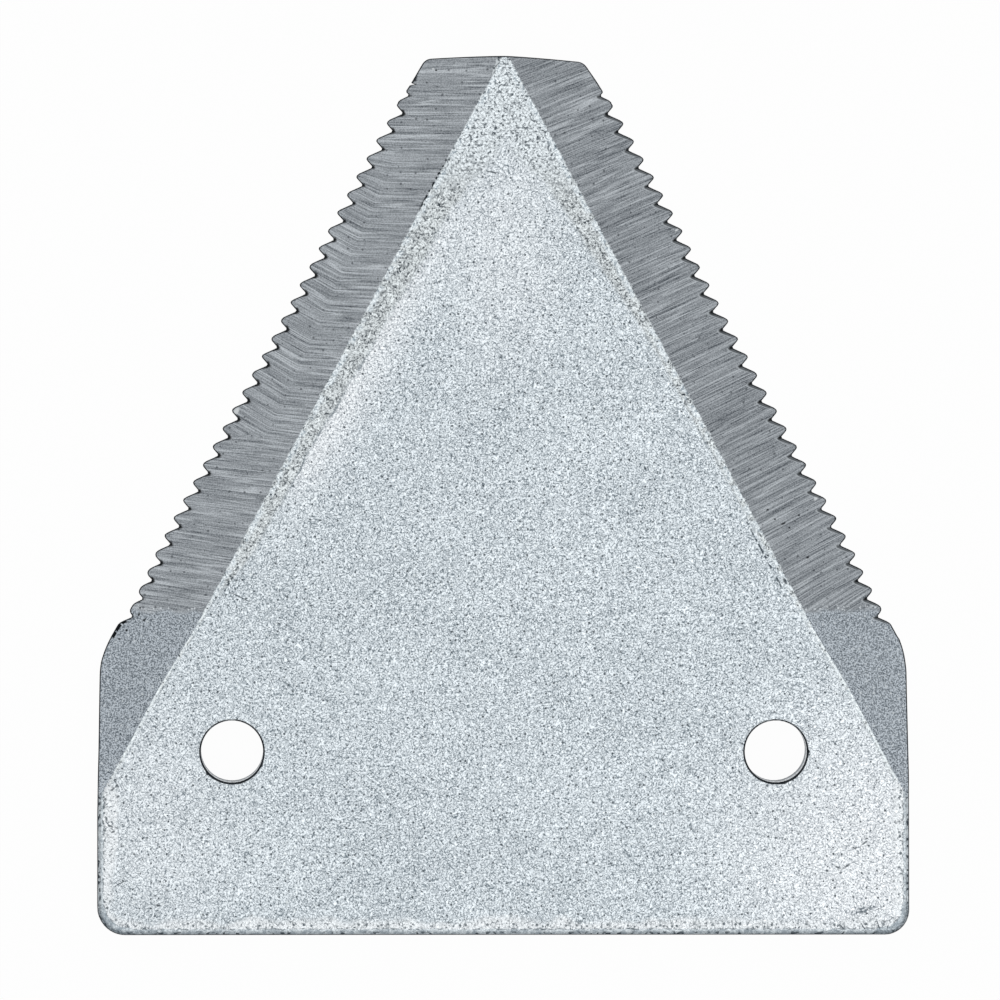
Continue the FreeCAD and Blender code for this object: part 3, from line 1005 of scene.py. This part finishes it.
sheared.set("Roughness", sheared.span(slid, 0, 1, 0.52, 0.34))
sheared.relief(sheared.mix(slid, tear, sheared.total((0.2, drag), (0.8, 1))), 0.03)

underside = Finish("zinc_underside")
under_grain = zinc_grain(underside)
under_broad = underside.noise(7, 20, 2)
under_tone = underside.total((1, under_grain), (0.3, under_broad), (-0.15, 1))
underside.colour = underside.mix(under_tone, seen(128, 140, 149), seen(240, 247, 251))
under_pins = underside.specks(0.9, 0.6, 0.1, 21)
underside.paint(seen(80, 90, 98), under_pins, 0.8)
underside.set("Base Color", underside.colour)
underside.set("Roughness", underside.span(under_grain, 0, 1, 0.5, 0.38))
underside.relief(under_grain, 0.01)


# The sickle section, put together
# One closed mesh with the four finishes on it, which stands for the plate of the frame.

crease_angle = math.radians(18)
face_list = np.concatenate(faces).tolist() + first_strip
mesh = bpy.data.meshes.new("sickle_section_steel")
mesh.from_pydata(points.tolist(), [], face_list)
mesh.update()
for finish in (zinc, ground, sheared, underside):
    mesh.materials.append(finish.material)
mesh.polygons.foreach_set("material_index", np.concatenate(face_finish).astype(np.int32))
mesh.polygons.foreach_set("use_smooth", np.ones(len(face_list), bool))
mesh.set_sharp_from_angle(angle=crease_angle)
for name, values in point_values.items():
    layer = mesh.attributes.new(name, "FLOAT", "POINT")
    layer.data.foreach_set("value", values.astype(np.float32))
layer = mesh.attributes.new("grinding", "FLOAT_VECTOR", "POINT")
layer.data.foreach_set("vector", grinding_place(x, y).astype(np.float32).ravel())

section = bpy.data.objects.new("sickle_section_steel", mesh)
bpy.context.scene.collection.objects.link(section)
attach(section, "root")
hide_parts("sickle_section")


# The floor
# A plain white board. It shows white to the camera and to the steel's reflections, and a part of
# its own matt white stays, so that it keeps the section's shadow. From below it is clear.

floor_half = 4.0
floor_gap = 0.02 * MM
floor_mesh = bpy.data.meshes.new("floor")
floor_mesh.from_pydata([(-floor_half, -floor_half, 0), (floor_half, -floor_half, 0),
                        (floor_half, floor_half, 0), (-floor_half, floor_half, 0)], [], [(0, 1, 2, 3)])
floor = bpy.data.objects.new("floor", floor_mesh)
floor.location.z = -floor_gap
bpy.context.scene.collection.objects.link(floor)

board = Finish("white_board")
board.set("Base Color", seen(240, 240, 240))
board.set("Metallic", 0.0)
board.set("Roughness", 0.9)
board.set("Specular IOR Level", 0.0)
rays = board.node("ShaderNodeLightPath").outputs
white_rays = board.maths("MAXIMUM", rays["Is Camera Ray"], rays["Is Glossy Ray"])
white_rays = board.maths("MAXIMUM", white_rays, rays["Is Transmission Ray"])
white = board.node("ShaderNodeEmission").outputs[0]
white_share = board.product(white_rays, 0.97)
lit = board.node("ShaderNodeMixShader", {0: white_share, 1: board.shader.outputs[0], 2: white}).outputs[0]
from_below = board.node("ShaderNodeNewGeometry").outputs["Backfacing"]
clear = board.node("ShaderNodeBsdfTransparent").outputs[0]
surface = board.node("ShaderNodeMixShader", {0: from_below, 1: lit, 2: clear}).outputs[0]
board.feed(board.tree.nodes["Material Output"].inputs["Surface"], surface)
floor_mesh.materials.append(board.material)


# The light
# An even pale room, and one wide softbox overhead, a little to the lower right of the camera.

world = bpy.data.worlds.new("studio")
world.use_nodes = True
world.node_tree.nodes["Background"].inputs["Color"].default_value = (1.0, 1.0, 1.0, 1.0)
world.node_tree.nodes["Background"].inputs["Strength"].default_value = 0.6
bpy.context.scene.world = world

softbox_data = bpy.data.lights.new("softbox", "AREA")
softbox_data.size = 0.6
softbox_data.energy = 1.3
softbox = bpy.data.objects.new("softbox", softbox_data)
softbox.location = (0.14, -0.1, 1.1)
softbox.rotation_euler = (-0.09, 0.13, 0.0)
bpy.context.scene.collection.objects.link(softbox)
bpy.context.scene.view_settings.view_transform = "Standard"


# The camera
# It stands 0.8 m up, a little to the upper left of the section's middle, with a long lens.

camera_place = mathutils.Vector((-0.023512, 0.054333, 0.8))
camera_aim = mathutils.Vector((-0.000346, 0.02339, 0.0))
camera_roll = 0.0018
camera_data = bpy.data.cameras.new("camera")
camera_data.sensor_width = 36
camera_data.lens = 308.0
camera_data.clip_end = 20
camera = bpy.data.objects.new("camera", camera_data)
ahead = (camera_aim - camera_place).normalized()
across = ahead.cross((0, 1, 0)).normalized()
facing = mathutils.Matrix((across, across.cross(ahead), -ahead)).transposed()
turned = facing @ mathutils.Matrix.Rotation(camera_roll, 3, "Z")
camera.matrix_world = mathutils.Matrix.Translation(camera_place) @ turned.to_4x4()
bpy.context.scene.collection.objects.link(camera)
bpy.context.scene.camera = camera
